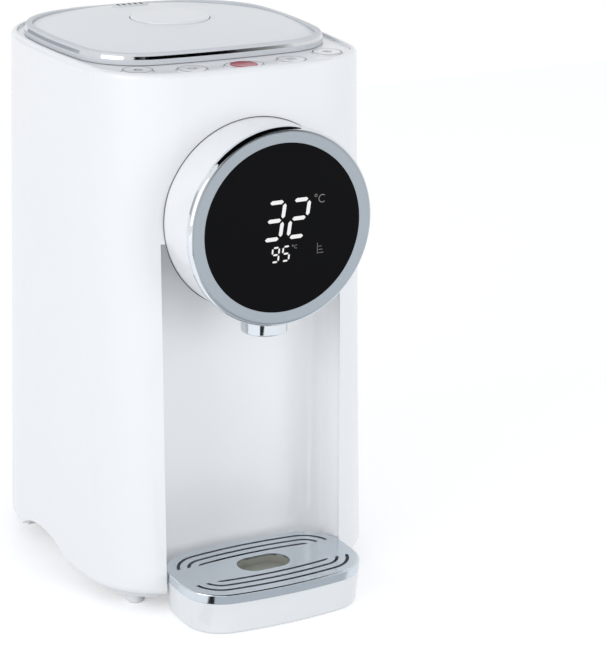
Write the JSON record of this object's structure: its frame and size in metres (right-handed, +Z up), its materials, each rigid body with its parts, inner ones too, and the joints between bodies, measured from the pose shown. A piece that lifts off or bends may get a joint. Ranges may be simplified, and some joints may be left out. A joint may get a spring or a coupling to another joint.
{
  "type": "hot water dispenser",
  "caption": "Electric hot water pot with a round display pod over a cup bay, round keys on its deck, a hinged lid with a bright ring and a slide-out drip tray.",
  "frame": {"origin": "on the table, under the middle of the whole object's width and depth", "axes": "+X to the right, -Y to the front (pod and cup bay), +Z up"},
  "size_m": [0.201, 0.2729, 0.3513],
  "materials": {
    "white_gloss": "glossy moulded white plastic",
    "white_satin": "satin moulded white plastic",
    "inner_plastic": "satin light grey plastic, inside",
    "rubber_feet": "matt grey rubber",
    "seal": "translucent white silicone rubber",
    "steel": "brushed stainless steel",
    "bright_trim": "polished chrome plating on plastic",
    "bezel_metal": "satin front with a polished shoulder",
    "display_glass": "black glossy cover glass",
    "red_lens": "red translucent plastic",
    "circuit": "green laminate",
    "module": "dark lit segment module",
    "hose": "translucent silicone hose",
    "heater": "cast aluminium",
    "pins": "nickel plated brass",
    "drain_grey": "grey-beige plastic strainer"
  },
  "bodies": {
    "housing": {"housing_shell": "white_gloss", "bay_panel": "white_gloss", "base_plate": "white_satin", "feet": "rubber_feet", "base_screws": "steel", "top_deck": "white_gloss", "hinge_pin": "steel", "switch_board": "circuit", "pod_drum": "white_gloss", "pod_bezel": "bezel_metal", "pod_glass": "display_glass", "pod_back_cover": "white_satin", "pod_lock_ring": "inner_plastic", "display_board": "circuit", "display_module": "module", "nozzle_collar": "bright_trim", "nozzle_spout": "steel", "tank": "steel", "tank_gasket": "seal", "tank_cradle": "inner_plastic", "heater_plate": "heater", "heater_coil": "steel", "thermostats": "inner_plastic", "warming_band": "heater", "tank_sensor": "steel", "pump_housing": "inner_plastic", "pump_motor": "steel", "suction_hose": "hose", "riser_hose": "hose", "power_inlet": "inner_plastic", "inlet_pins": "pins", "power_board": "circuit"},
    "lid": {"lid_trim_ring": "bright_trim", "lid_cover": "white_gloss", "lid_base": "inner_plastic", "lid_gasket": "seal", "steam_vent": "white_satin", "lever_pin": "steel"},
    "lever": {"lid_lever": "white_gloss"},
    "latch": {"lid_latch": "inner_plastic"},
    "lock_key": {"key_lock": "white_gloss"},
    "volume_key": {"key_volume": "white_gloss"},
    "dispense_key": {"key_dispense": "white_gloss", "key_lens": "red_lens"},
    "heat_key": {"key_heat": "white_gloss"},
    "boil_key": {"key_boil": "white_gloss"},
    "tray": {"drip_tray": "white_gloss"},
    "grid": {"drip_grid": "bright_trim", "drain_cup": "drain_grey"},
    "impeller": {"pump_impeller": "white_satin"}
  },
  "joints": [
    {"name": "lid_hinge", "type": "hinge", "parent": "housing", "child": "lid", "pos_m": [0, 0.11949, 0.341], "axis": [-1, 0, 0], "range_deg": [0, 85]},
    {"name": "lever_pivot", "type": "hinge", "parent": "lid", "child": "lever", "pos_m": [0, 0.05049, 0.3481], "axis": [-1, 0, 0], "range_deg": [0, 20], "stiffness_Nm_per_rad": 0.02},
    {"name": "latch_slide", "type": "slide", "parent": "lid", "child": "latch", "axis": [0, 1, 0], "range_m": [0, 0.004]},
    {"name": "lock_key_press", "type": "slide", "parent": "housing", "child": "lock_key", "axis": [0, 0, -1], "range_m": [0, 0.001], "stiffness_N_per_m": 400},
    {"name": "volume_key_press", "type": "slide", "parent": "housing", "child": "volume_key", "axis": [0, 0, -1], "range_m": [0, 0.001], "stiffness_N_per_m": 400},
    {"name": "dispense_key_press", "type": "slide", "parent": "housing", "child": "dispense_key", "axis": [0, 0, -1], "range_m": [0, 0.001], "stiffness_N_per_m": 400},
    {"name": "heat_key_press", "type": "slide", "parent": "housing", "child": "heat_key", "axis": [0, 0, -1], "range_m": [0, 0.001], "stiffness_N_per_m": 400},
    {"name": "boil_key_press", "type": "slide", "parent": "housing", "child": "boil_key", "axis": [0, 0, -1], "range_m": [0, 0.001], "stiffness_N_per_m": 400},
    {"name": "tray_slide", "type": "slide", "parent": "housing", "child": "tray", "axis": [0, -1, 0], "range_m": [0, 0.09]},
    {"name": "grid_lift", "type": "slide", "parent": "tray", "child": "grid", "axis": [0, 0, 1], "range_m": [0, 0.04]},
    {"name": "impeller_spin", "type": "hinge", "parent": "housing", "child": "impeller", "pos_m": [0.03792, -0.00453, 0.04], "axis": [0, 0, 1], "continuous": true}
  ],
  "couplings": [
    {"joint": "lever_pivot", "follows": "latch_slide", "rad_per_m": 87.258}
  ]
}
